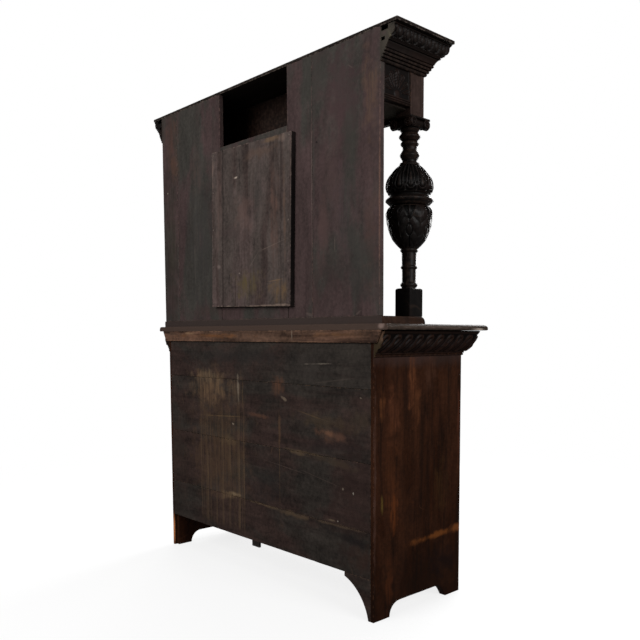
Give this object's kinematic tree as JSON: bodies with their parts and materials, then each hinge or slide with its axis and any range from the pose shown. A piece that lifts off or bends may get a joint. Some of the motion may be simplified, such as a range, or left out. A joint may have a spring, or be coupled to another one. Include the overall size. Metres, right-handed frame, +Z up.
{
  "type": "sideboard",
  "caption": "Dark carved oak sideboard: a cupboard with drawers over doors, and a shallow niche under a corniced canopy carried by cup-and-cover columns.",
  "frame": {"origin": "on the floor, under the middle of the whole piece's bounding box", "axes": "+X to the right as seen from the front, -Y towards the front, +Z up"},
  "size_m": [1.42, 0.52, 1.835],
  "materials": {
    "dark_polished_oak": "old dark stain under a thin wax, semi-gloss on the turned and carved parts",
    "stained_back_oak": "thin dark stain, dull and scuffed, on the back and the hidden boards",
    "bare_inside_oak": "bare oak, oiled by age, inside the cupboard and the drawers",
    "black_iron": "black forged iron, dull"
  },
  "bodies": {
    "cabinet": {"side_panel_left": "dark_polished_oak", "side_panel_right": "dark_polished_oak", "lower_back_board_1": "stained_back_oak", "lower_back_board_2": "stained_back_oak", "lower_back_board_3": "stained_back_oak", "lower_back_board_4": "stained_back_oak", "rear_bracket_foot": "stained_back_oak", "rear_centre_block": "stained_back_oak", "bottom_board": "stained_back_oak", "shelf": "bare_inside_oak", "front_stiles": "dark_polished_oak", "front_centre_stile": "dark_polished_oak", "front_top_rail": "dark_polished_oak", "drawer_rails": "dark_polished_oak", "front_apron": "dark_polished_oak", "drawer_runners": "bare_inside_oak", "drawer_kickers": "bare_inside_oak", "hinge_leaves_frame": "black_iron", "hinge_pins": "black_iron", "top_board": "dark_polished_oak", "top_rear_rail": "stained_back_oak", "top_moulding_left": "dark_polished_oak", "top_moulding_right": "dark_polished_oak", "top_moulding_front": "dark_polished_oak", "upper_base_board": "dark_polished_oak", "upper_back_board_1": "stained_back_oak", "upper_back_board_2": "stained_back_oak", "upper_back_board_3": "stained_back_oak", "upper_back_board_4": "stained_back_oak", "upper_centre_board": "stained_back_oak", "patch_board": "stained_back_oak", "patch_nails": "black_iron", "column_left": "dark_polished_oak", "column_right": "dark_polished_oak", "capital_left": "dark_polished_oak", "capital_right": "dark_polished_oak", "corner_post_left": "dark_polished_oak", "corner_post_right": "dark_polished_oak", "side_frieze_left": "dark_polished_oak", "side_frieze_right": "dark_polished_oak", "front_frieze": "dark_polished_oak", "soffit_board": "stained_back_oak", "cornice_left": "dark_polished_oak", "cornice_right": "dark_polished_oak", "cornice_front": "dark_polished_oak", "canopy_top": "stained_back_oak"},
    "drawer_left": {"drawer_front_left": "dark_polished_oak", "drawer_box_left": "bare_inside_oak", "drawer_knobs_left": "dark_polished_oak"},
    "door_left": {"door_frame_left": "dark_polished_oak", "door_panel_left": "dark_polished_oak", "door_knob_left": "dark_polished_oak", "hinge_leaves_left": "black_iron"},
    "drawer_right": {"drawer_front_right": "dark_polished_oak", "drawer_box_right": "bare_inside_oak", "drawer_knobs_right": "dark_polished_oak"},
    "door_right": {"door_frame_right": "dark_polished_oak", "door_panel_right": "dark_polished_oak", "door_knob_right": "dark_polished_oak", "hinge_leaves_right": "black_iron"}
  },
  "joints": [
    {"name": "drawer_left_slide", "type": "slide", "parent": "cabinet", "child": "drawer_left", "axis": [0, -1, 0], "range_m": [0, 0.26]},
    {"name": "door_left_hinge", "type": "hinge", "parent": "cabinet", "child": "door_left", "pos_m": [-0.535, -0.199, 0.4], "axis": [0, 0, -1], "range_deg": [0, 105]},
    {"name": "drawer_right_slide", "type": "slide", "parent": "cabinet", "child": "drawer_right", "axis": [0, -1, 0], "range_m": [0, 0.26]},
    {"name": "door_right_hinge", "type": "hinge", "parent": "cabinet", "child": "door_right", "pos_m": [0.535, -0.199, 0.4], "axis": [0, 0, 1], "range_deg": [0, 105]}
  ]
}
